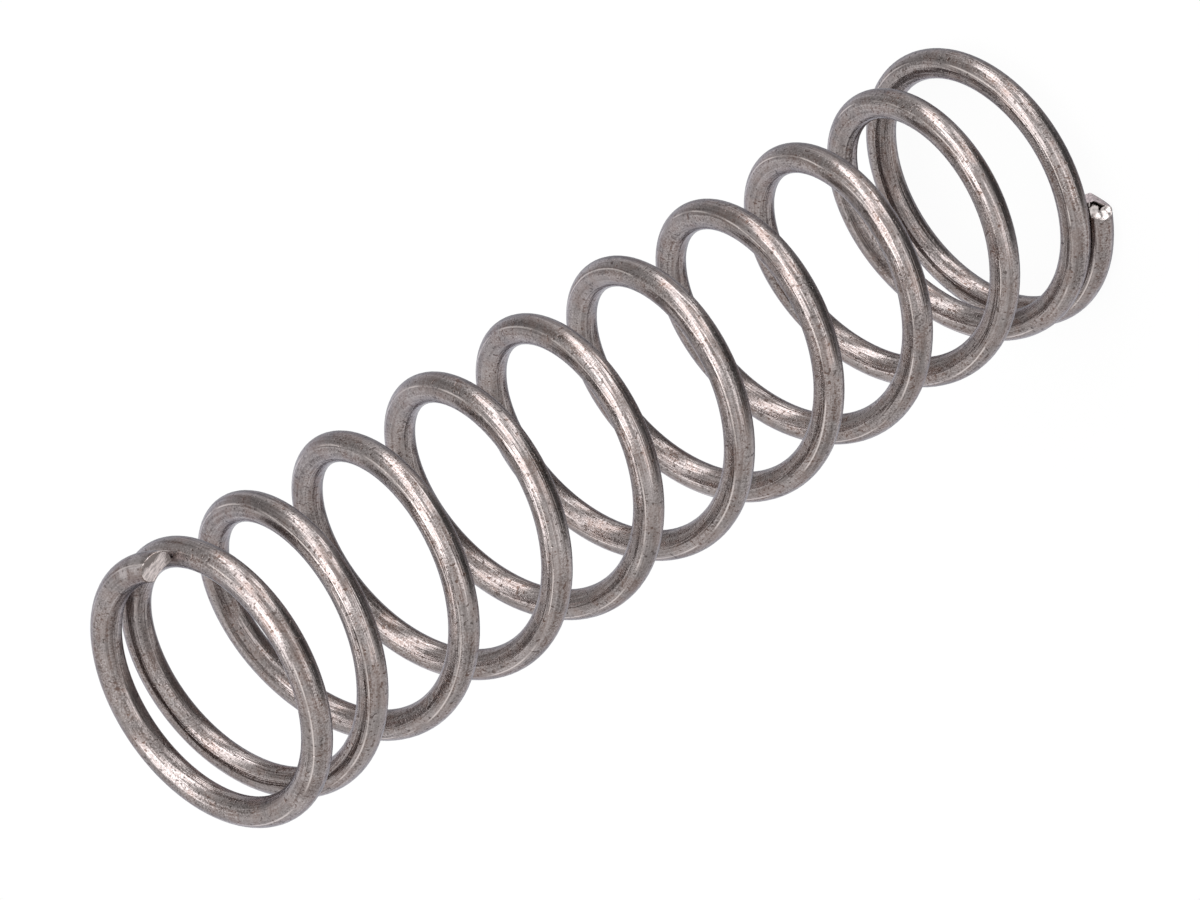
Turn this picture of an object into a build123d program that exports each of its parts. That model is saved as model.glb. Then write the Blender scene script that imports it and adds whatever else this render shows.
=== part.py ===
from build123d import *
from math import cos, pi, radians, sin, tau
import os

# Compression spring, coiled left-hand from one round steel wire, ends closed and left as sheared.
#
# Millimetres and degrees. The spring stands on its foot end with its axis on Z, and Z = 0 is the
# plane under the foot coil. A place on the wire is a number of turns, counted from the foot tip,
# which lies on +X. Seen from above, a left-hand coil turns clockwise as it rises.

# The wire and the coil
wire_diameter = 1.25
outer_diameter = 12.2
free_length = 48.0
total_turns = 10.72

# The closed ends: each tip lies against the next coil, and the pitch then opens from nothing much
# to the full pitch of the active coils over some turns
foot_closing_turns = 2.25
head_closing_turns = 2.25
tip_clearance = 0.05

# The foot coil sprang open a little when it was cut off: it is larger for a while, then fades
# back to the size of the other coils
foot_growth = 0.3
growth_full_turns = 0.85
growth_fade_turns = 0.6

# The turns are counted between the middles of the two cuts, and the wire runs on past each of
# them, where a slanted cut leaves a lip
foot_overrun = 0.26
head_overrun = 0.45

# Shears cut through most of the wire cleanly and on a slant, and then its last part breaks away
# at a steeper angle. A cut slopes back towards its side, which is a direction round the wire,
# turned from radially outward to +Z. Heights and drops are measured along the wire from the
# middle of the cut, and the offset of a break is from the centre line to the edge where it starts.
foot_clean_side = 307
foot_clean_angle = 41
foot_clean_height = 0.2
foot_break_side = 8
foot_break_angle = 38
foot_break_offset = 0.28
foot_break_drop = 0.34
head_clean_side = 144
head_clean_angle = 33
head_clean_height = 0.05
head_break_side = 213
head_break_angle = 60
head_break_offset = 0.4
head_break_drop = 0.1
cutter_margin = 0.1
cutter_size = 5.0

# Centre-line points that the path is drawn through, for each turn
points_per_turn = 12

wire_radius = wire_diameter / 2
coil_radius = (outer_diameter - wire_diameter) / 2


def ease(share):
    """Smooth step from 0 to 1, level at both ends."""
    share = min(max(share, 0), 1)
    return share**2 * (3 - 2 * share)


def turns_held_back(turns, closing_turns):
    """Area between a full pitch of 1 and one that eases open over closing_turns."""
    share = min(max(turns / closing_turns, 0), 1)
    eased_area = closing_turns * (share**3 - share**4 / 2)
    return min(turns, closing_turns) - eased_area


# The first turn of each end climbs just the wire and the clearance, and all turns together climb
# the free length less one wire. These conditions fix the full pitch and the drop at each tip.
closed_rise = wire_diameter + tip_clearance
foot_first_turn = turns_held_back(1, foot_closing_turns)
head_first_turn = turns_held_back(1, head_closing_turns)
foot_all_turns = turns_held_back(total_turns, foot_closing_turns)
head_all_turns = turns_held_back(total_turns, head_closing_turns)
closed_turns = foot_all_turns / foot_first_turn + head_all_turns / head_first_turn
total_rise = free_length - wire_diameter
full_pitch = (total_rise - closed_rise * closed_turns) / (total_turns - closed_turns)
foot_pitch_drop = (full_pitch - closed_rise) / foot_first_turn
head_pitch_drop = (full_pitch - closed_rise) / head_first_turn


def pitch_at(turn):
    """Climb for one turn at this place on the wire."""
    foot_part = 1 - ease(turn / foot_closing_turns)
    head_part = 1 - ease((total_turns - turn) / head_closing_turns)
    return full_pitch - foot_pitch_drop * foot_part - head_pitch_drop * head_part


def height_at(turn):
    """Height of the wire's centre line."""
    foot_part = turns_held_back(turn, foot_closing_turns)
    head_part = head_all_turns - turns_held_back(total_turns - turn, head_closing_turns)
    drop = foot_pitch_drop * foot_part + head_pitch_drop * head_part
    return wire_radius + full_pitch * turn - drop


def radius_at(turn):
    """Distance of the wire's centre line from the axis."""
    faded = ease((turn - growth_full_turns) / growth_fade_turns)
    return coil_radius + foot_growth * (1 - faded)


def outward_at(turn):
    """Unit vector from the axis to the wire."""
    return Vector(cos(-tau * turn), sin(-tau * turn), 0)


def centre_at(turn):
    """Point on the wire's centre line."""
    return outward_at(turn) * radius_at(turn) + Vector(0, 0, height_at(turn))


def direction_at(turn):
    """Change of the centre line for one turn, where the radius is steady, as at both tips."""
    along = Vector(0, 0, -1).cross(outward_at(turn))
    return along * (tau * radius_at(turn)) + Vector(0, 0, pitch_at(turn))


first_turn = -foot_overrun / direction_at(0).length
last_turn = total_turns + head_overrun / direction_at(total_turns).length


def coiled_wire():
    """The wire, swept round the coil from end to end, with square ends past both tips."""
    steps = round(total_turns * points_per_turn)
    turns = [first_turn + (last_turn - first_turn) * step / steps for step in range(steps + 1)]
    centre_line = Edge.make_spline(
        [centre_at(turn) for turn in turns],
        tangents=[direction_at(first_turn), direction_at(last_turn)],
        parameters=turns,
        scale=False,
    )
    section = Plane(origin=centre_at(first_turn), z_dir=direction_at(first_turn)) * Circle(wire_radius)
    wire = sweep(section, path=centre_line, is_frenet=True)
    swept_volume = pi * wire_radius**2 * centre_line.length
    print("wire length", round(centre_line.length, 2))
    print("full pitch", round(full_pitch, 3))
    print("volume against section times length", round(wire.volume / swept_volume, 5))
    return wire


def cut_place(turn, leaving, side_angle):
    """Place of a cut: its Z leaves the wire's end, and its X points to the cut's side."""
    outward = outward_at(turn)
    upward = leaving.cross(outward)
    if upward.Z < 0:
        upward = -upward
    side = outward * cos(radians(side_angle)) + upward * sin(radians(side_angle))
    return Plane(origin=centre_at(turn), x_dir=side, z_dir=leaving).location


def clean_cutter(place, height, angle):
    """All that lies past a slanted plane through the wire."""
    middle = (Align.CENTER, Align.CENTER, Align.MIN)
    block = Box(cutter_size, cutter_size, cutter_size, align=middle)
    return place * Pos(0, 0, height) * Rot(0, angle, 0) * block


def break_cutter(place, offset, drop, angle):
    """All that lies past the steep plane where the wire broke away, on one side of an edge."""
    edge = place * Pos(offset, 0, 0)
    outer_part = Box(cutter_size, cutter_size, 2 * cutter_size,
                     align=(Align.MIN, Align.CENTER, Align.CENTER))
    return (edge * outer_part) & clean_cutter(edge, -drop, angle)


def between_heights(lowest, highest):
    """A level slab that keeps a cutter off the neighbouring coil."""
    level = Pos(0, 0, (lowest + highest) / 2)
    return level * Box(2 * outer_diameter, 2 * outer_diameter, highest - lowest)


def not_past(place, height):
    """All that lies no further past the tip than this, and well back from it."""
    back = (Align.CENTER, Align.CENTER, Align.MAX)
    block = Box(2 * cutter_size, 2 * cutter_size, 2 * cutter_size, align=back)
    return place * Pos(0, 0, height) * block


def foot_cutters():
    """Cuts of the foot tip, kept below the coil that lies on it."""
    leaving = -direction_at(0).normalized()
    clean_place = cut_place(0, leaving, foot_clean_side)
    break_place = cut_place(0, leaving, foot_break_side)
    slab = between_heights(-cutter_margin, wire_diameter + tip_clearance / 2)
    limit = slab & not_past(clean_place, foot_overrun + cutter_margin)
    clean = clean_cutter(clean_place, foot_clean_height, foot_clean_angle)
    broken = break_cutter(break_place, foot_break_offset, foot_break_drop, foot_break_angle)
    return clean & limit, broken & limit


def head_cutters():
    """Cuts of the head tip, kept above the coil that lies under it."""
    leaving = direction_at(total_turns).normalized()
    clean_place = cut_place(total_turns, leaving, head_clean_side)
    break_place = cut_place(total_turns, leaving, head_break_side)
    top_of_next_coil = free_length - wire_diameter - tip_clearance
    slab = between_heights(top_of_next_coil + tip_clearance / 2, free_length + cutter_margin)
    limit = slab & not_past(clean_place, head_overrun + cutter_margin)
    clean = clean_cutter(clean_place, head_clean_height, head_clean_angle)
    broken = break_cutter(break_place, head_break_offset, head_break_drop, head_break_angle)
    return clean & limit, broken & limit


spring = coiled_wire()
for cutter in foot_cutters() + head_cutters():
    spring = spring - cutter
spring.label = "spring"
print("solids", len(spring.solids()), "and faces", len(spring.faces()))

os.makedirs("parts", exist_ok=True)
export_step(spring, "parts/spring.step")
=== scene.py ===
# %% [markdown]
# # A compression spring in drawn steel wire
#
# A spring is one wire, and nearly all of its looks come from two things: the even curve of the
# coils, and how a round, satin metal wire mirrors the lights. So this scene spends its effort on
# the path of the coil, on the finish of the wire, and on lamps that stand where a studio's would.
# The two cut ends get their own care, because they are where the eye goes.

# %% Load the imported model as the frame
from math import atan2, cos, hypot, pi, radians, sin, tan, tau

import bmesh
import bpy
from mathutils import Matrix, Vector, noise


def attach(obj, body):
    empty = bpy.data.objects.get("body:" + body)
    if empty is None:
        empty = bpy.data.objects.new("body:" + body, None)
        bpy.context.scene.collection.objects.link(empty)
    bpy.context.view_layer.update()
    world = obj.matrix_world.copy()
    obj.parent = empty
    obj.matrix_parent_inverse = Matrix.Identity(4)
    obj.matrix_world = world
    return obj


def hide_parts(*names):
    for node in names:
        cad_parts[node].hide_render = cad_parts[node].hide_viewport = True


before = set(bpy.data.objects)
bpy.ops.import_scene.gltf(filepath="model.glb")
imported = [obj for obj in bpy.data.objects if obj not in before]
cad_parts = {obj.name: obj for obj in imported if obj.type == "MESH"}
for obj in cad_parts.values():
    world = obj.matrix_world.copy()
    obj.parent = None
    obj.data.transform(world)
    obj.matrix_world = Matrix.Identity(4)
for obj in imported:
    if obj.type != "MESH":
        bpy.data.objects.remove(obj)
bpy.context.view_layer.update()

MM = 0.001


# %% [markdown]
# ## Writing shader maths as Python
#
# A material is a graph of nodes. Linking many Math nodes by hand hides what they work out, so a
# small class wraps an output socket and lets Python's own signs make the nodes. The other class
# is the board that the nodes stand on, with one method that adds any node.

# %% A socket that can be added and multiplied
class Signal:
    """One output socket. Sums with it add Math nodes to its board."""

    def __init__(self, board, socket):
        self.board = board
        self.socket = socket

    def maths(self, operation, first, second=0.0):
        return self.board.node("ShaderNodeMath", {"operation": operation}, {0: first, 1: second})

    def __add__(self, other):
        return self.maths("ADD", self, other)

    def __radd__(self, other):
        return self.maths("ADD", other, self)

    def __sub__(self, other):
        return self.maths("SUBTRACT", self, other)

    def __rsub__(self, other):
        return self.maths("SUBTRACT", other, self)

    def __mul__(self, other):
        return self.maths("MULTIPLY", self, other)

    def __rmul__(self, other):
        return self.maths("MULTIPLY", other, self)

    def __abs__(self):
        return self.maths("ABSOLUTE", self)


class Board:
    """The node tree of one material or of the world."""

    def __init__(self, tree):
        self.tree = tree
        tree.nodes.clear()

    def node(self, kind, settings=None, inputs=None, output=0):
        """Adds a node: its settings first, then the values or links of its sockets."""
        made = self.tree.nodes.new(kind)
        for name, value in (settings or {}).items():
            setattr(made, name, value)
        for name, value in (inputs or {}).items():
            if isinstance(value, Signal):
                self.tree.links.new(value.socket, made.inputs[name])
            else:
                made.inputs[name].default_value = value
        return Signal(self, made.outputs[output]) if made.outputs else None

    def step(self, value, low, high):
        """Smooth step: 0 where value is at low or less, 1 where it is at high or more."""
        settings = {"interpolation_type": "SMOOTHSTEP"}
        return self.node("ShaderNodeMapRange", settings, {0: value, 1: low, 2: high})

    def mix(self, factor, first, second):
        """Colour between first and second."""
        settings = {"data_type": "RGBA", "clamp_factor": True}
        return self.node("ShaderNodeMix", settings, {0: factor, 6: first, 7: second}, output=2)

    def scaled(self, vector, scale):
        """A vector with each part times its own scale, such as how many ripples fit in a metre."""
        settings = {"operation": "MULTIPLY"}
        return self.node("ShaderNodeVectorMath", settings, {0: vector, 1: scale})

    def grain(self, vector, detail=2.0):
        """Soft noise, mostly from 0.3 to 0.7, with features about one unit of the vector wide."""
        inputs = {"Vector": vector, "Scale": 1.0, "Detail": detail}
        return self.node("ShaderNodeTexNoise", {"noise_dimensions": "3D"}, inputs)

    def reach(self, vector, way):
        """How far a vector reaches in one direction."""
        settings = {"operation": "DOT_PRODUCT"}
        return self.node("ShaderNodeVectorMath", settings, {0: vector, 1: way}, "Value")

    def near(self, vector, point, full_reach, no_reach):
        """1 within a reach of a point, fading to 0 further off."""
        settings = {"operation": "DISTANCE"}
        away = self.node("ShaderNodeVectorMath", settings, {0: vector, 1: point}, "Value")
        return 1 - self.step(away, full_reach, no_reach)


# %% [markdown]
# ## The camera
#
# The photo was taken with a long lens, so the coils at both ends look nearly the same size. The
# spring lies across the picture there, and it stands upright here. A camera has no up of its
# own: it looks down at the standing spring and is rolled until the coil runs across the frame.

# %% Place the camera
def direction(azimuth, elevation):
    """Unit vector from the spring towards a place in the room, from two angles in degrees."""
    level = cos(radians(elevation))
    turned = radians(azimuth)
    return Vector((level * cos(turned), level * sin(turned), sin(radians(elevation))))


camera_aim = Vector((-0.14, -0.60, 24.58)) * MM
camera_distance = 533.3 * MM
camera_azimuth = 30.65
camera_elevation = 36.31
camera_roll = 122.86
camera_lens = 398.6
camera_sensor = 36
nearest_seen = 10 * MM

camera_data = bpy.data.cameras.new("camera")
camera_data.lens = camera_lens
camera_data.sensor_width = camera_sensor
camera_data.clip_start = nearest_seen
camera = bpy.data.objects.new("camera", camera_data)
bpy.context.scene.collection.objects.link(camera)
to_camera = direction(camera_azimuth, camera_elevation)
level_view = (-to_camera).to_track_quat("-Z", "Y").to_matrix()
rolled_view = level_view @ Matrix.Rotation(radians(-camera_roll), 3, "Z")
camera_place = Matrix.Translation(camera_aim + to_camera * camera_distance)
camera.matrix_world = camera_place @ rolled_view.to_4x4()
bpy.context.scene.camera = camera
bpy.context.scene.view_settings.view_transform = "Standard"


# %% [markdown]
# ## The floor and the white room
#
# The ground of the photo is plain white. The floor is white paper: what looks straight at it sees
# mostly plain white, and the rest of its colour is ordinary paper that keeps the spring's shadow.
# The room is as white, and every ray that reaches it sees the same white, so the wire mirrors the
# background that the camera sees.
#
# The spring lies on its side in the photo and stands up here, so some of what its wire mirrors
# there would be under this floor. The floor therefore stays out of the wire's reflections, and
# they show the white room and the lamps all round instead.

# %% Make the floor
floor_size = 3.0
paper_colour = (0.9, 0.9, 0.9, 1)
shadow_share = 0.05

floor_bmesh = bmesh.new()
bmesh.ops.create_grid(floor_bmesh, x_segments=1, y_segments=1, size=floor_size / 2)
floor_mesh = bpy.data.meshes.new("floor")
floor_bmesh.to_mesh(floor_mesh)
floor_bmesh.free()
floor = bpy.data.objects.new("floor", floor_mesh)
bpy.context.scene.collection.objects.link(floor)
floor.visible_glossy = False
floor.visible_shadow = False

floor_material = bpy.data.materials.new("white_paper")
floor_material.use_nodes = True
paper = Board(floor_material.node_tree)
camera_ray = paper.node("ShaderNodeLightPath", output="Is Camera Ray")
glossy_ray = paper.node("ShaderNodeLightPath", output="Is Glossy Ray")
through_ray = paper.node("ShaderNodeLightPath", output="Is Transmission Ray")
seen_white = (camera_ray + glossy_ray + through_ray) * (1 - shadow_share)
paper_shade = paper.node("ShaderNodeBsdfDiffuse", None, {"Color": paper_colour})
paper_white = paper.node("ShaderNodeEmission", None, {"Color": (1, 1, 1, 1), "Strength": 1.0})
paper_mix = {0: seen_white, 1: paper_shade, 2: paper_white}
paper_surface = paper.node("ShaderNodeMixShader", None, paper_mix)
paper.node("ShaderNodeOutputMaterial", None, {"Surface": paper_surface})
floor_mesh.materials.append(floor_material)


# %% Make the room
world = bpy.data.worlds.new("room")
world.use_nodes = True
bpy.context.scene.world = world
room = Board(world.node_tree)
room_white = room.node("ShaderNodeBackground", None, {"Color": (1, 1, 1, 1), "Strength": 1.0})
room.node("ShaderNodeOutputWorld", None, {"Surface": room_white})


# %% [markdown]
# ## Dark cards
#
# A wholly white room makes a metal wire look flat. A photographer stands black cards around it,
# out of the picture, and each card draws a dark line along the wire that shows how round it is.
# These cards are flat discs that only reflections see. A hard edge would draw a hard line, so each
# card turns clear from its middle to its rim, as seen from the spring.

# %% Stand the cards
spring_middle = Vector((0, 0, 24 * MM))
card_distance = 0.6
card_segments = 64
card_black = (0.01, 0.01, 0.01, 1)


def dark_card(name, angles, dark_reach, clear_reach, darkness):
    """A disc that faces the spring. Its reaches are angles from its middle, in degrees."""
    towards = direction(*angles)
    middle = spring_middle + towards * card_distance
    turn = towards.to_track_quat("Z", "Y").to_matrix().to_4x4()
    card_bmesh = bmesh.new()
    bmesh.ops.create_circle(
        card_bmesh, cap_ends=True, radius=card_distance * tan(radians(clear_reach)),
        segments=card_segments, matrix=Matrix.Translation(middle) @ turn,
    )
    card_mesh = bpy.data.meshes.new(name)
    card_bmesh.to_mesh(card_mesh)
    card_bmesh.free()
    card = bpy.data.objects.new(name, card_mesh)
    bpy.context.scene.collection.objects.link(card)
    card.visible_camera = False
    card.visible_diffuse = False
    card.visible_shadow = False

    material = bpy.data.materials.new(name)
    material.use_nodes = True
    felt = Board(material.node_tree)
    in_room = felt.node("ShaderNodeTexCoord", output="Object")
    settings = {"operation": "SUBTRACT"}
    from_spring = felt.node("ShaderNodeVectorMath", settings, {0: in_room, 1: spring_middle})
    one_long = felt.node("ShaderNodeVectorMath", {"operation": "NORMALIZE"}, {0: from_spring})
    nearness = felt.reach(one_long, towards)
    dark = felt.step(nearness, cos(radians(clear_reach)), cos(radians(dark_reach))) * darkness
    clear = felt.node("ShaderNodeBsdfTransparent")
    black = felt.node("ShaderNodeBsdfDiffuse", None, {"Color": card_black})
    surface = felt.node("ShaderNodeMixShader", None, {0: dark, 1: clear, 2: black})
    felt.node("ShaderNodeOutputMaterial", None, {"Surface": surface})
    card_mesh.materials.append(material)


dark_card("card_below", (19, -55), 18, 45, 0.88)
dark_card("card_far_below", (180, -62), 22, 46, 0.45)
dark_card("card_behind", (146, 10), 13, 41, 0.48)
dark_card("card_beside", (-58, 6), 15, 38, 0.25)


# %% [markdown]
# ## Strip lamps
#
# The photo shows long soft highlights along each coil, so long strip boxes stood around the
# spring. An area lamp with one long side makes such a highlight. Each is given by the directions
# of its two ends, as seen from the spring, and stands at one distance from it.

# %% Hang the lamps
lamp_distance = 0.5


def strip_lamp(name, one_end, other_end, width, radiance, colour):
    """A rectangular lamp between two ends, facing the spring."""
    ends = [spring_middle + direction(*angles) * lamp_distance for angles in (one_end, other_end)]
    along = ends[1] - ends[0]
    middle = (ends[0] + ends[1]) / 2
    facing = (spring_middle - middle).normalized()
    side = along.normalized().cross(-facing)
    lamp_data = bpy.data.lights.new(name, "AREA")
    lamp_data.shape = "RECTANGLE"
    lamp_data.size = width
    lamp_data.size_y = along.length
    lamp_data.energy = radiance * pi * width * along.length
    lamp_data.color = colour
    lamp = bpy.data.objects.new(name, lamp_data)
    bpy.context.scene.collection.objects.link(lamp)
    turn = Matrix((side, along.normalized(), -facing)).transposed()
    lamp.matrix_world = Matrix.Translation(middle) @ turn.to_4x4()
    lamp.visible_camera = False
    print(name, "is", round(along.length, 3), "m long")


lamp_colour = (0.993, 0.985, 0.993)
strip_lamp("long_strip", (70, 48), (105, -25), 0.155, 2.75, lamp_colour)
strip_lamp("top_strip", (-168, 62), (58, 47), 0.2, 2.5, lamp_colour)
strip_lamp("low_strip", (54, 0), (84, -42), 0.1, 2.3, lamp_colour)
strip_lamp("near_strip", (-12, 11), (42, 5), 0.13, 1.45, lamp_colour)


# %% [markdown]
# ## The path of the wire
#
# The wire climbs as it goes round. Its ends lie nearly flat against the next coil, and over
# some turns the climb opens up to the full pitch, so the height is the sum of an eased pitch. The
# sizes of the coil are those of the solid that this piece stands for, so the shape is the same.

# %% Name the sizes of the coil
wire_diameter = 1.25 * MM
outer_diameter = 12.2 * MM
free_length = 48.0 * MM
total_turns = 10.72
closing_turns = 2.25
tip_clearance = 0.05 * MM
foot_growth = 0.3 * MM
growth_full_turns = 0.85
growth_fade_turns = 0.6

wire_radius = wire_diameter / 2
coil_radius = (outer_diameter - wire_diameter) / 2


# %% Work out the climb
def ease(share):
    """Smooth step from 0 to 1, level at both ends."""
    share = min(max(share, 0), 1)
    return share**2 * (3 - 2 * share)


def turns_held_back(turns):
    """Area between a full pitch of 1 and one that eases open over the closing turns."""
    share = min(max(turns / closing_turns, 0), 1)
    return min(turns, closing_turns) - closing_turns * (share**3 - share**4 / 2)


closed_rise = wire_diameter + tip_clearance
closed_turns = 2 * turns_held_back(total_turns) / turns_held_back(1)
total_rise = free_length - wire_diameter
full_pitch = (total_rise - closed_rise * closed_turns) / (total_turns - closed_turns)
pitch_drop = (full_pitch - closed_rise) / turns_held_back(1)
print("full pitch in mm", round(full_pitch / MM, 3))


def pitch_at(turn):
    """Climb for one turn at this place on the wire."""
    foot_part = 1 - ease(turn / closing_turns)
    head_part = 1 - ease((total_turns - turn) / closing_turns)
    return full_pitch - pitch_drop * (foot_part + head_part)


def height_at(turn):
    """Height of the wire's centre line."""
    foot_part = turns_held_back(turn)
    head_part = turns_held_back(total_turns) - turns_held_back(total_turns - turn)
    return wire_radius + full_pitch * turn - pitch_drop * (foot_part + head_part)


def radius_at(turn):
    """Distance of the wire's centre line from the axis."""
    faded = ease((turn - growth_full_turns) / growth_fade_turns)
    return coil_radius + foot_growth * (1 - faded)


def outward_at(turn):
    """Unit vector from the axis to the wire. A left-hand coil turns clockwise as it rises."""
    return Vector((cos(-tau * turn), sin(-tau * turn), 0))


def centre_at(turn):
    """Point on the wire's centre line."""
    return outward_at(turn) * radius_at(turn) + Vector((0, 0, height_at(turn)))


def lead_at(turn):
    """Angle at which the wire climbs, in radians."""
    return atan2(pitch_at(turn), tau * radius_at(turn))


def wire_direction(turn):
    """Unit vector along the wire, towards the head."""
    along = Vector((0, 0, -1)).cross(outward_at(turn))
    return along * cos(lead_at(turn)) + Vector((0, 0, sin(lead_at(turn))))


def wire_upward(turn):
    """Unit vector across the wire, towards the head."""
    return wire_direction(turn).cross(outward_at(turn))


def side_of(turn, angle):
    """Unit vector across the wire at a section angle: 0 is outward and 90 is towards the head."""
    turned = radians(angle)
    return outward_at(turn) * cos(turned) + wire_upward(turn) * sin(turned)


# %% [markdown]
# ## Coiling the wire
#
# The spin operator is a coiling machine: it extrudes a ring of edges while it turns it about an
# axis, and each step can lift it too. One spin has one pitch, so this coil is many short spins of
# one step each, every one with the climb of its own place. Between them the ring is tilted to the
# new lead angle and moved to the new radius, so the wire stays round all the way.
#
# Each point also remembers where it is on the wire: how far along, and its two distances from the
# centre line. The finish follows the wire by that note.

# %% Coil it
steps_per_turn = 96
ring_points = 32
foot_overrun = 0.26 * MM
head_overrun = 0.45 * MM
first_turn = -foot_overrun / hypot(tau * radius_at(0), pitch_at(0))
last_turn = total_turns + head_overrun / hypot(tau * radius_at(total_turns), pitch_at(total_turns))
length_by_turn = {first_turn: -foot_overrun}


def spin_on(coil, ring, place, length, before, after, steps):
    """Coils on from one turn to a later one, with one climb, and returns the new last ring."""
    known = len(coil.verts)
    rise = (height_at(after) - height_at(before)) / steps
    angle = -tau * (after - before)
    spun = bmesh.ops.spin(
        coil, geom=ring, cent=(0, 0, 0), axis=(0, 0, 1), dvec=(0, 0, rise),
        angle=angle, steps=steps, use_merge=False,
    )
    piece_length = hypot(tau * radius_at(after) * (after - before), rise * steps)
    coil.verts.ensure_lookup_table()
    for count, point in enumerate(coil.verts[known:]):
        point[place].x = length + piece_length * (count // ring_points + 1) / steps
    points = [item for item in spun["geom_last"] if isinstance(item, bmesh.types.BMVert)]
    widening = outward_at(after) * (radius_at(after) - radius_at(before))
    bmesh.ops.translate(coil, verts=points, vec=widening)
    tilt = Matrix.Rotation(lead_at(before) - lead_at(after), 3, outward_at(after))
    bmesh.ops.rotate(coil, verts=points, cent=centre_at(after), matrix=tilt)
    return spun["geom_last"], length + piece_length


def stretches_of_wire():
    """Where each spin starts and ends, and its number of steps."""
    closing_steps = round(closing_turns * steps_per_turn)
    closing = [closing_turns * step / closing_steps for step in range(closing_steps + 1)]
    open_end = total_turns - closing_turns
    turns = [first_turn] + closing + [open_end + start for start in closing] + [last_turn]
    for before, after in zip(turns, turns[1:]):
        yield before, after, max(1, round((after - before) * steps_per_turn))


def coiled_wire():
    """The whole wire as an open tube, with its place on the wire stored at every point."""
    coil = bmesh.new()
    place = coil.verts.layers.float_vector.new("place_on_wire")
    coil.verts.layers.float.new("peak_height")
    turned = Matrix.Rotation(-tau * first_turn, 4, "Z")
    tilt = Matrix.Rotation(pi / 2 - lead_at(first_turn), 4, "X")
    start = Matrix.Translation(centre_at(first_turn)) @ turned @ tilt
    bmesh.ops.create_circle(
        coil, cap_ends=False, radius=wire_radius, segments=ring_points, matrix=start)
    length = -foot_overrun
    for point in coil.verts:
        offset = point.co - centre_at(first_turn)
        outward_part = offset.dot(outward_at(first_turn))
        upward_part = offset.dot(wire_upward(first_turn))
        point[place] = (length, outward_part, upward_part)
    ring = coil.verts[:] + coil.edges[:]
    for before, after, steps in stretches_of_wire():
        ring, length = spin_on(coil, ring, place, length, before, after, steps)
        length_by_turn[after] = length
    return coil, place, length - head_overrun


coil, place, wire_length = coiled_wire()
print("wire length in mm", round(wire_length / MM, 2), "in", len(coil.faces), "faces")


# %% [markdown]
# ## The sheared ends
#
# The wire is cut off by shears. The blade first presses a clean, slanted face into the wire, then
# the last of it breaks away and leaves a torn place that lies deeper. Bisecting planes make them:
# one clears all that lies past the clean face, and two more divide the rest along the wall and the
# floor of the torn place, so that the faces between them can be taken out. Each opening that is
# left gets a flat face, and the finish of each face is noted by a number.

# %% Name the cuts
# Each side is a section angle. Heights and the drop are measured along the wire from the middle of
# the cut, and the offset is how far from the middle of the wire the torn place starts. The sides
# that skin was dragged over have a section angle and how far from the middle the skin starts.
drawn_finish, foot_cut_finish, head_cut_finish, torn_finish = range(4)
foot_cut = {
    "clean_side": 307, "clean_angle": 41, "clean_height": 0.2 * MM,
    "break_side": 8, "break_angle": 38, "break_offset": 0.28 * MM, "break_drop": 0.34 * MM,
    "rim_rounding": 0.07 * MM, "pit_depth": 0.1 * MM, "finish": foot_cut_finish,
}
head_cut = {
    "clean_side": 144, "clean_angle": 33, "clean_height": 0.05 * MM,
    "break_side": 213, "break_angle": 60, "break_offset": 0.35 * MM, "break_drop": 0.1 * MM,
    "rim_rounding": 0.035 * MM, "pit_depth": 0.04 * MM, "finish": head_cut_finish,
    "dragged": ((34, 0.33 * MM), (270, 0.42 * MM)),
}
tip_reach = 2 * MM
rim_shares = (0.35, 1.0)
skin_from = wire_radius * 0.97
on_plane = 0.001 * MM
snap = 1e-8


# %% Choose what to cut
def tip_faces(end_length):
    """The faces within reach of one end of the wire."""
    return [face for face in coil.faces
            if all(abs(point[place].x - end_length) < tip_reach for point in face.verts)]


def with_edges(faces):
    """Faces with their edges and points, as the operators want them."""
    edges = {edge for face in faces for edge in face.edges}
    points = {point for face in faces for point in face.verts}
    return list(points) + list(edges) + list(faces)


def open_edges(end_length):
    """The edges round the opening at one end of the wire."""
    return [edge for edge in coil.edges
            if edge.is_boundary and abs(edge.verts[0][place].x - end_length) < tip_reach]


def fill(edges, finish):
    """Fills an opening with one flat face in one of the finishes."""
    faces = bmesh.ops.edgeloop_fill(coil, edges=edges)["faces"]
    for face in faces:
        face.material_index = finish
    return faces


def sloping_back(leaving, side, angle):
    """Normal of a plane that stands square to the wire's end but slopes back towards a side."""
    return leaving * cos(radians(angle)) + side * sin(radians(angle))


# %% Cut the ends
def cut_clean(end_length, turn, leaving, cut):
    """Closes the end square, then takes off all that lies past the clean face."""
    fill(open_edges(end_length), cut["finish"])
    sheared = bmesh.ops.bisect_plane(
        coil, geom=with_edges(tip_faces(end_length)), dist=snap, clear_outer=True,
        plane_co=centre_at(turn) + leaving * cut["clean_height"],
        plane_no=sloping_back(leaving, side_of(turn, cut["clean_side"]), cut["clean_angle"]),
    )
    opening = [item for item in sheared["geom_cut"] if isinstance(item, bmesh.types.BMEdge)]
    fill(opening, cut["finish"])


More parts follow.
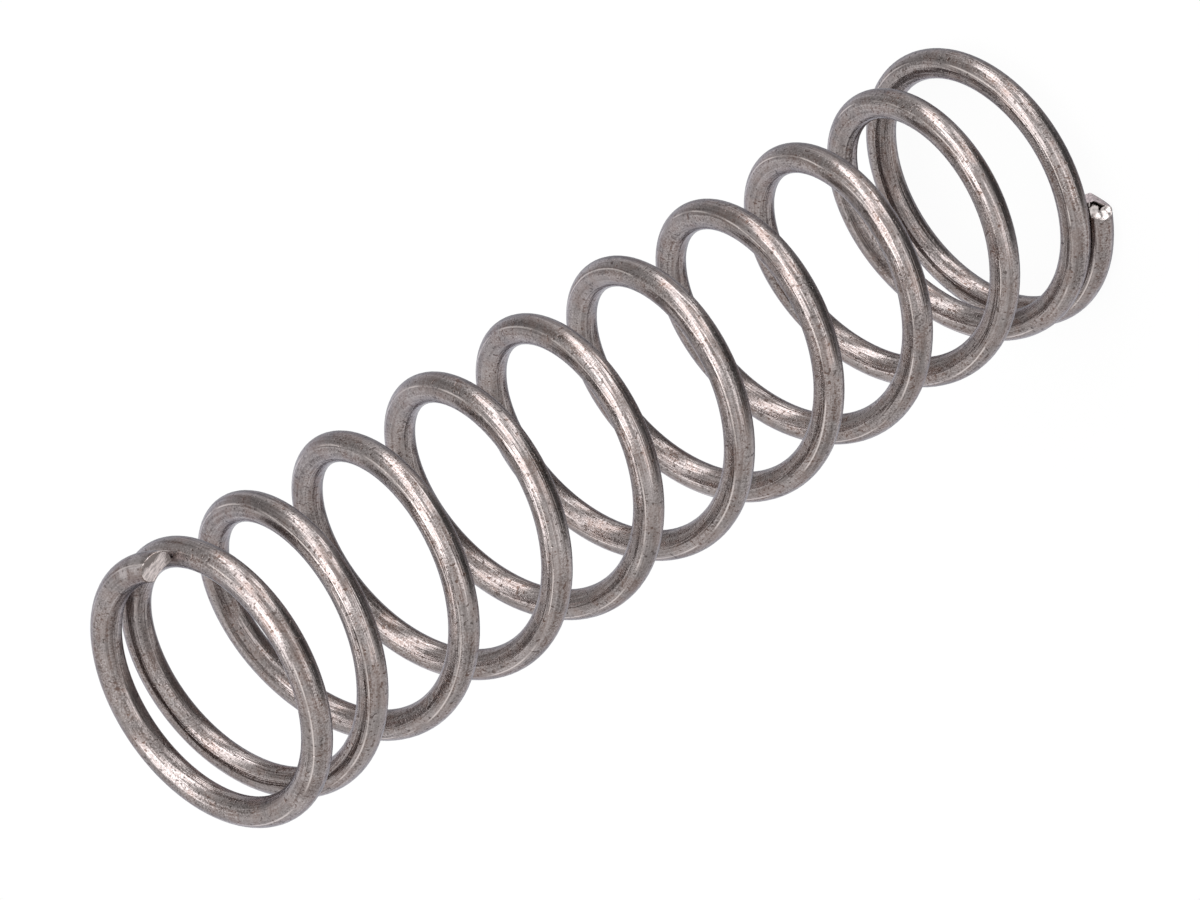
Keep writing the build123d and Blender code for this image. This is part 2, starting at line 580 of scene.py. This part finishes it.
def round_rim(end_length, turn, leaving, cut, overrun):
    """Rounds the rims of the clean face and the square one, where the blade dragged the skin in."""
    rounding = cut["rim_rounding"]
    slanted = sloping_back(leaving, side_of(turn, cut["clean_side"]), cut["clean_angle"])
    faces_there = (
        (centre_at(turn) + leaving * cut["clean_height"], slanted),
        (centre_at(turn) + leaving * overrun, leaving),
    )
    for point, normal in faces_there:
        for share in rim_shares:
            bmesh.ops.bisect_plane(
                coil, geom=with_edges(tip_faces(end_length)), dist=snap,
                plane_co=point - normal * rounding * share, plane_no=normal)
    for vertex in {vertex for face in tip_faces(end_length) for vertex in face.verts}:
        depth = min((point - vertex.co).dot(normal) for point, normal in faces_there)
        if depth < rounding:
            level = 1 - max(depth, 0) / rounding
            shrink = rounding * (1 - (1 - level**2)**0.5)
            across = side_of(turn, 0) * vertex[place].y + side_of(turn, 90) * vertex[place].z
            if across.length > skin_from:
                vertex.co -= across.normalized() * shrink


def break_away(end_length, turn, leaving, cut):
    """Takes out the torn place, and returns the faces of its wall and floor."""
    side = side_of(turn, cut["break_side"])
    edge_point = centre_at(turn) + side * cut["break_offset"] - leaving * cut["break_drop"]
    floor_normal = sloping_back(leaving, side, cut["break_angle"])

    def past(face, normal):
        return (face.calc_center_median() - edge_point).dot(normal) > 0

    tip = with_edges(tip_faces(end_length))
    bmesh.ops.bisect_plane(coil, geom=tip, dist=snap, plane_co=edge_point, plane_no=floor_normal)
    beyond = [face for face in tip_faces(end_length) if past(face, floor_normal)]
    bmesh.ops.bisect_plane(
        coil, geom=with_edges(beyond), dist=snap, plane_co=edge_point, plane_no=side)
    gone = [face for face in tip_faces(end_length)
            if past(face, floor_normal) and past(face, side)]
    bmesh.ops.delete(coil, geom=gone, context="FACES")

    rim = open_edges(end_length)
    wall = [edge for edge in rim
            if all(abs((point.co - edge_point).dot(side)) < on_plane for point in edge.verts)]
    torn = [edge for edge in rim if edge not in wall]
    torn_points = {point for edge in torn for point in edge.verts}
    corners = {point for edge in wall for point in edge.verts if point in torn_points}
    print(len(wall), "edges of the wall,", len(torn), "of the floor and", len(corners), "corners")
    fold = coil.edges.new(list(corners))
    return fill(wall + [fold], torn_finish) + fill(torn + [fold], torn_finish)


foot_leaving = -wire_direction(0)
head_leaving = wire_direction(total_turns)
cut_clean(0, 0, foot_leaving, foot_cut)
round_rim(0, 0, foot_leaving, foot_cut, foot_overrun)
foot_torn = break_away(0, 0, foot_leaving, foot_cut)
cut_clean(wire_length, total_turns, head_leaving, head_cut)
round_rim(wire_length, total_turns, head_leaving, head_cut, head_overrun)
head_torn = break_away(wire_length, total_turns, head_leaving, head_cut)


# %% [markdown]
# ## The torn metal
#
# Metal that breaks leaves small peaks and pits, which catch the light one by one. The torn faces
# are divided by a grid of cuts about as fine as those pits, and the points of the grid are moved
# by noise. Points on the skin of the wire only move along it, so that the rim turns ragged and
# the wire stays round.

# %% Roughen the torn faces
pit_spacing = 0.06 * MM
first_cut_share = 0.6
pit_width = 0.24 * MM
crevice_depth = 0.2 * MM
crevice_height = 0.25 * MM
crevice_fade = 0.06 * MM
crevice_taper = 0.28 * MM
crevice_ragged = 0.22 * MM
ragged_width = 0.12 * MM
peak_height = coil.verts.layers.float["peak_height"]


def divide(faces, across):
    """Cuts faces with evenly spaced planes that stand across one direction."""
    reach = [point.co.dot(across) for face in faces for point in face.verts]
    cuts = int((max(reach) - min(reach)) / pit_spacing)
    for count in range(cuts):
        level = min(reach) + pit_spacing * (count + first_cut_share)
        cut = bmesh.ops.bisect_plane(
            coil, geom=with_edges(faces), dist=snap, plane_co=across * level, plane_no=across)
        faces = [item for item in cut["geom"] if isinstance(item, bmesh.types.BMFace)]
    return faces


def roughen(faces, turn, leaving, cut):
    """Moves the points of torn faces in and out, and sinks a crevice below the clean face."""
    pit_depth = cut["pit_depth"]
    side = side_of(turn, cut["break_side"])
    across = side_of(turn, cut["break_side"] + 90)
    edge_point = centre_at(turn) + side * cut["break_offset"] - leaving * cut["break_drop"]
    clean_point = centre_at(turn) + leaving * cut["clean_height"]
    clean_normal = sloping_back(leaving, side_of(turn, cut["clean_side"]), cut["clean_angle"])
    for direction_across in (across, side, leaving):
        faces = divide(faces, direction_across)
    for point in {point for face in faces for point in face.verts}:
        on_skin = hypot(point[place].y, point[place].z) > skin_from
        on_rim = any(face.material_index != torn_finish for face in point.link_faces)
        below = (clean_point - point.co).dot(clean_normal) / cos(radians(cut["clean_angle"]))
        depth = pit_depth * noise.noise(point.co / pit_width)
        if not on_rim and (point.co - edge_point).dot(side) < on_plane:
            ragged = crevice_ragged * noise.noise(point.co / ragged_width)
            height = crevice_height * ease(1 + (point.co - edge_point).dot(across) / crevice_taper)
            depth -= crevice_depth * ease((height - below + depth + ragged) / crevice_fade)
        # The height is kept for the finish, which paints the peaks pale and the pits and crevice
        # dark: painted highlights and painted shade.
        point[peak_height] = depth / pit_depth
        point.co += (leaving if on_skin else (leaving + side).normalized()) * depth
    return faces


foot_torn = roughen(foot_torn, 0, foot_leaving, foot_cut)
head_torn = roughen(head_torn, total_turns, head_leaving, head_cut)
print(len(foot_torn), "torn faces at the foot and", len(head_torn), "at the head")


# %% Turn it into the object
for face in coil.faces:
    face.smooth = face.material_index == drawn_finish
for edge in coil.edges:
    edge.smooth = len({face.material_index for face in edge.link_faces}) == 1
bmesh.ops.recalc_face_normals(coil, faces=coil.faces[:])
print("open edges", sum(edge.is_boundary for edge in coil.edges))
wire_mesh = bpy.data.meshes.new("coiled_wire")
coil.to_mesh(wire_mesh)
coil.free()
wire = bpy.data.objects.new("coiled_wire", wire_mesh)
bpy.context.scene.collection.objects.link(wire)


# %% [markdown]
# ## Drawn steel
#
# The wire was pulled through a die, which leaves a satin skin with fine lines along it, a little
# brown from the heat. The lines stay with the wire round every coil, so their noise reads the
# place on the wire that each point remembers: long along the wire and very short across it. They
# raise the skin too, so a highlight breaks up into long streaks. A speckle comes in patches, with
# smoother places between them, and the tone wanders between brown and grey. A few marks that catch
# the eye are set one by one, by their place on the wire.

# %% Start the finish with its patterns
brown_dark = (0.153, 0.106, 0.09, 1)
grey_dark = (0.128, 0.107, 0.101, 1)
pale_steel = (0.456, 0.413, 0.405, 1)
rubbed_steel = (0.8, 0.72, 0.69, 1)

wire_material = bpy.data.materials.new("drawn_steel")
wire_material.use_nodes = True
steel = Board(wire_material.node_tree)
on_wire = steel.node("ShaderNodeAttribute", {"attribute_name": "place_on_wire"}, output="Vector")
in_space = steel.node("ShaderNodeTexCoord", output="Object")


def lines(length, width, detail=2.0):
    """Noise about 0, drawn out along the wire."""
    return steel.grain(steel.scaled(on_wire, (1 / length, 1 / width, 1 / width)), detail) - 0.5


def lumps(size, detail=2.0):
    """Noise about 0, as wide as it is long."""
    return steel.grain(steel.scaled(in_space, (1 / size,) * 3), detail) - 0.5


draw_lines = lines(7 * MM, 0.085 * MM)
fine_lines = lines(1.6 * MM, 0.06 * MM, 3.0)
broad_lines = lines(4 * MM, 0.2 * MM)
mottle = lumps(0.22 * MM)
blotches = lumps(1.1 * MM, 3.0)
warmth = steel.step(lumps(0.8 * MM), -0.12, 0.12)


# %% Find a place on the wire
mark_core = 0.6
mark_rim = 1.3


def length_at(turn):
    """How far along the wire a turn is, between the two nearest places that the spins noted."""
    before = max(known for known in length_by_turn if known <= turn)
    after = min(known for known in length_by_turn if known > turn)
    share = (turn - before) / (after - before)
    return length_by_turn[before] * (1 - share) + length_by_turn[after] * share


def marks(places):
    """1 on each of a few round marks, given by turn, section angle and reach in mm."""
    total = 0
    for turn, angle, reach in places:
        turned = radians(angle)
        point = (length_at(turn), wire_radius * cos(turned), wire_radius * sin(turned))
        total = total + steel.near(on_wire, point, mark_core * reach * MM, mark_rim * reach * MM)
    return total


rough_places = ((7.81, 10, 0.45), (6.523, 99, 0.3), (0.964, 40, 0.4))
pale_spots = ((9.036, 126, 0.07), (9.074, 87, 0.035), (9.868, 318, 0.04), (8.857, 72, 0.04))
dark_spots = ((1.042, 48, 0.05), (0.069, 51, 0.05), (0.941, 72, 0.05), (8.679, 117, 0.05))
stains = ((10.104, 60, 0.5), (9.933, 12, 0.45))
scuffs = ((10.704, 50, 0.4), (10.68, 72, 0.3))
print("turn 5 is at", round(length_at(5) / MM, 1), "mm along the wire")


# %% [markdown]
# ## The line of the coiling tool
#
# The wire slid over a pin as it was coiled, always on the same side, so one thin rubbed line
# follows it from end to end. It wanders a little and it breaks off where the pin lost touch.

# %% Rub the line
line_angle = radians(59)
line_wander = 0.25 * MM
line_core = 0.015 * MM
line_rim = 0.045 * MM
towards_line = (0, cos(line_angle), sin(line_angle))
across_line = (0, -sin(line_angle), cos(line_angle))
off_line = steel.reach(on_wire, across_line) + lines(7 * MM, 9 * MM) * line_wander
on_that_side = steel.step(steel.reach(on_wire, towards_line), 0, wire_radius / 2)
in_touch = steel.step(lines(2.5 * MM, 9 * MM), -0.09, 0.05)
rubbed = (1 - steel.step(abs(off_line), line_core, line_rim)) * on_that_side * in_touch


# %% Put the skin together
middle_tone = 0.47
middle_roughness = 0.17
relief_height = 0.028 * MM
rim_tint = (0.74, 0.75, 0.82, 1)

patches = steel.step(lines(3 * MM, 0.5 * MM), -0.08, 0.1) + marks(rough_places)
speckle = lumps(0.07 * MM, 1.0) * (patches * 0.7 + 0.6)
pits = steel.step(lumps(0.15 * MM, 0.0), 0.2, 0.26) + marks(dark_spots)
tone = (middle_tone + draw_lines * 0.65 + broad_lines * 0.95 + fine_lines * 0.5 + speckle * 1.45
        + mottle * 0.4 + blotches * 0.4 + marks(pale_spots) * 0.8 + marks(scuffs) * 0.5 - pits * 0.6)
dark_steel = steel.mix(warmth, brown_dark, grey_dark)
skin = steel.mix(tone, dark_steel, pale_steel)
stained_skin = steel.mix(marks(stains) * 0.35, skin, brown_dark)
marked_skin = steel.mix(rubbed * 0.65, stained_skin, rubbed_steel)
skin_roughness = middle_roughness + speckle * 0.1 - broad_lines * 0.2 + rubbed * 0.05
relief = (draw_lines * 0.5 + broad_lines * 1.1 + fine_lines * 0.3 + speckle * 0.11
          - rubbed * 0.2 - pits * 0.3)
bump_inputs = {"Strength": 1.0, "Distance": relief_height, "Height": relief}
bump = steel.node("ShaderNodeBump", None, bump_inputs)
steel_surface = steel.node("ShaderNodeBsdfPrincipled", None, {
    "Base Color": marked_skin, "Metallic": 1.0, "Roughness": skin_roughness, "Normal": bump,
    "Specular Tint": rim_tint,
})
steel.node("ShaderNodeOutputMaterial", None, {"Surface": steel_surface})
wire_mesh.materials.append(wire_material)


# %% [markdown]
# ## Cut and torn steel
#
# Inside, the steel is paler than its skin. The blade rubs the clean face nearly smooth, with faint
# lines the way it went, and at the head it dragged some skin over two sides of it. The torn metal
# is painted pale on its peaks and nearly black in its pits and crevice, by their height: these are
# painted highlights and painted shade.

# %% Make the finishes of the ends
dragged_skin = (0.27, 0.235, 0.225, 1)
dragged_ragged = 0.6 * MM
dragged_fade = 0.02 * MM
pale_level = 0.65


def blade_path(turn, leaving, cut):
    """Unit vector down a clean face, the way that the blade went."""
    angle = radians(cut["clean_angle"])
    return side_of(turn, cut["clean_side"]) * cos(angle) - leaving * sin(angle)


def bare_steel(name, dark, pale, size, path, stretch, roughness, bump_depth, painted_light_share, dark_level,
               dragged=()):
    """Bare metal with a fine pattern, longer along a path, for the faces inside the wire."""
    material = bpy.data.materials.new(name)
    material.use_nodes = True
    metal = Board(material.node_tree)
    inside = metal.node("ShaderNodeTexCoord", output="Object")
    along = metal.reach(inside, path) * ((1 / stretch - 1) / size)
    settings = {"operation": "SCALE"}
    drawn_out = metal.node("ShaderNodeVectorMath", settings, {0: path, "Scale": along})
    evenly = metal.scaled(inside, (1 / size,) * 3)
    settings = {"operation": "ADD"}
    stretched = metal.node("ShaderNodeVectorMath", settings, {0: evenly, 1: drawn_out})
    pattern = metal.grain(stretched, detail=3.0)
    settings = {"attribute_name": "peak_height"}
    peaks = metal.node("ShaderNodeAttribute", settings, output="Fac")
    # A share of the kept height paints peaks pale and pits dark: painted highlights and painted
    # shade.
    lightness = metal.step(pattern + peaks * painted_light_share, dark_level, pale_level)
    colour = metal.mix(lightness, dark, pale)
    settings = {"attribute_name": "place_on_wire"}
    across_wire = metal.node("ShaderNodeAttribute", settings, output="Vector")
    for angle, reach in dragged:
        outward = metal.reach(across_wire, (0, cos(radians(angle)), sin(radians(angle))))
        past_edge = outward - (reach + (0.5 - pattern) * dragged_ragged)
        colour = metal.mix(metal.step(past_edge, -dragged_fade, dragged_fade), colour, dragged_skin)
    bump_inputs = {"Strength": 1.0, "Distance": bump_depth, "Height": pattern}
    bumps = metal.node("ShaderNodeBump", None, bump_inputs)
    surface = metal.node("ShaderNodeBsdfPrincipled", None, {
        "Base Color": colour, "Metallic": 1.0, "Roughness": roughness, "Normal": bumps,
    })
    metal.node("ShaderNodeOutputMaterial", None, {"Surface": surface})
    wire_mesh.materials.append(material)


foot_path = blade_path(0, foot_leaving, foot_cut)
head_path = blade_path(total_turns, head_leaving, head_cut)
bare_steel(
    "foot_cut", dark=(0.33, 0.285, 0.295, 1), pale=(0.78, 0.67, 0.69, 1), size=0.07 * MM,
    path=foot_path, stretch=3, roughness=0.42, bump_depth=0.02 * MM, painted_light_share=0.0, dark_level=0.3,
)
# The head's clean face is the same sheared steel as the foot's, painted paler: that extra lightness
# is painted light.
bare_steel(
    "head_cut", dark=(0.42, 0.375, 0.37, 1), pale=(0.9, 0.81, 0.79, 1), size=0.06 * MM,
    path=head_path, stretch=5, roughness=0.42, bump_depth=0.03 * MM, painted_light_share=0.0, dark_level=0.3,
    dragged=head_cut["dragged"],
)
# The torn steel's peaks are painted pale and its pits nearly black: painted highlights and painted
# shade.
bare_steel(
    "torn_steel", dark=(0.05, 0.04, 0.036, 1), pale=(0.76, 0.7, 0.68, 1), size=0.12 * MM,
    path=foot_path, stretch=1, roughness=0.36, bump_depth=0.02 * MM, painted_light_share=0.6,
    dark_level=-0.15,
)


# %% Hand the piece over
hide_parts("spring")
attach(wire, "root")
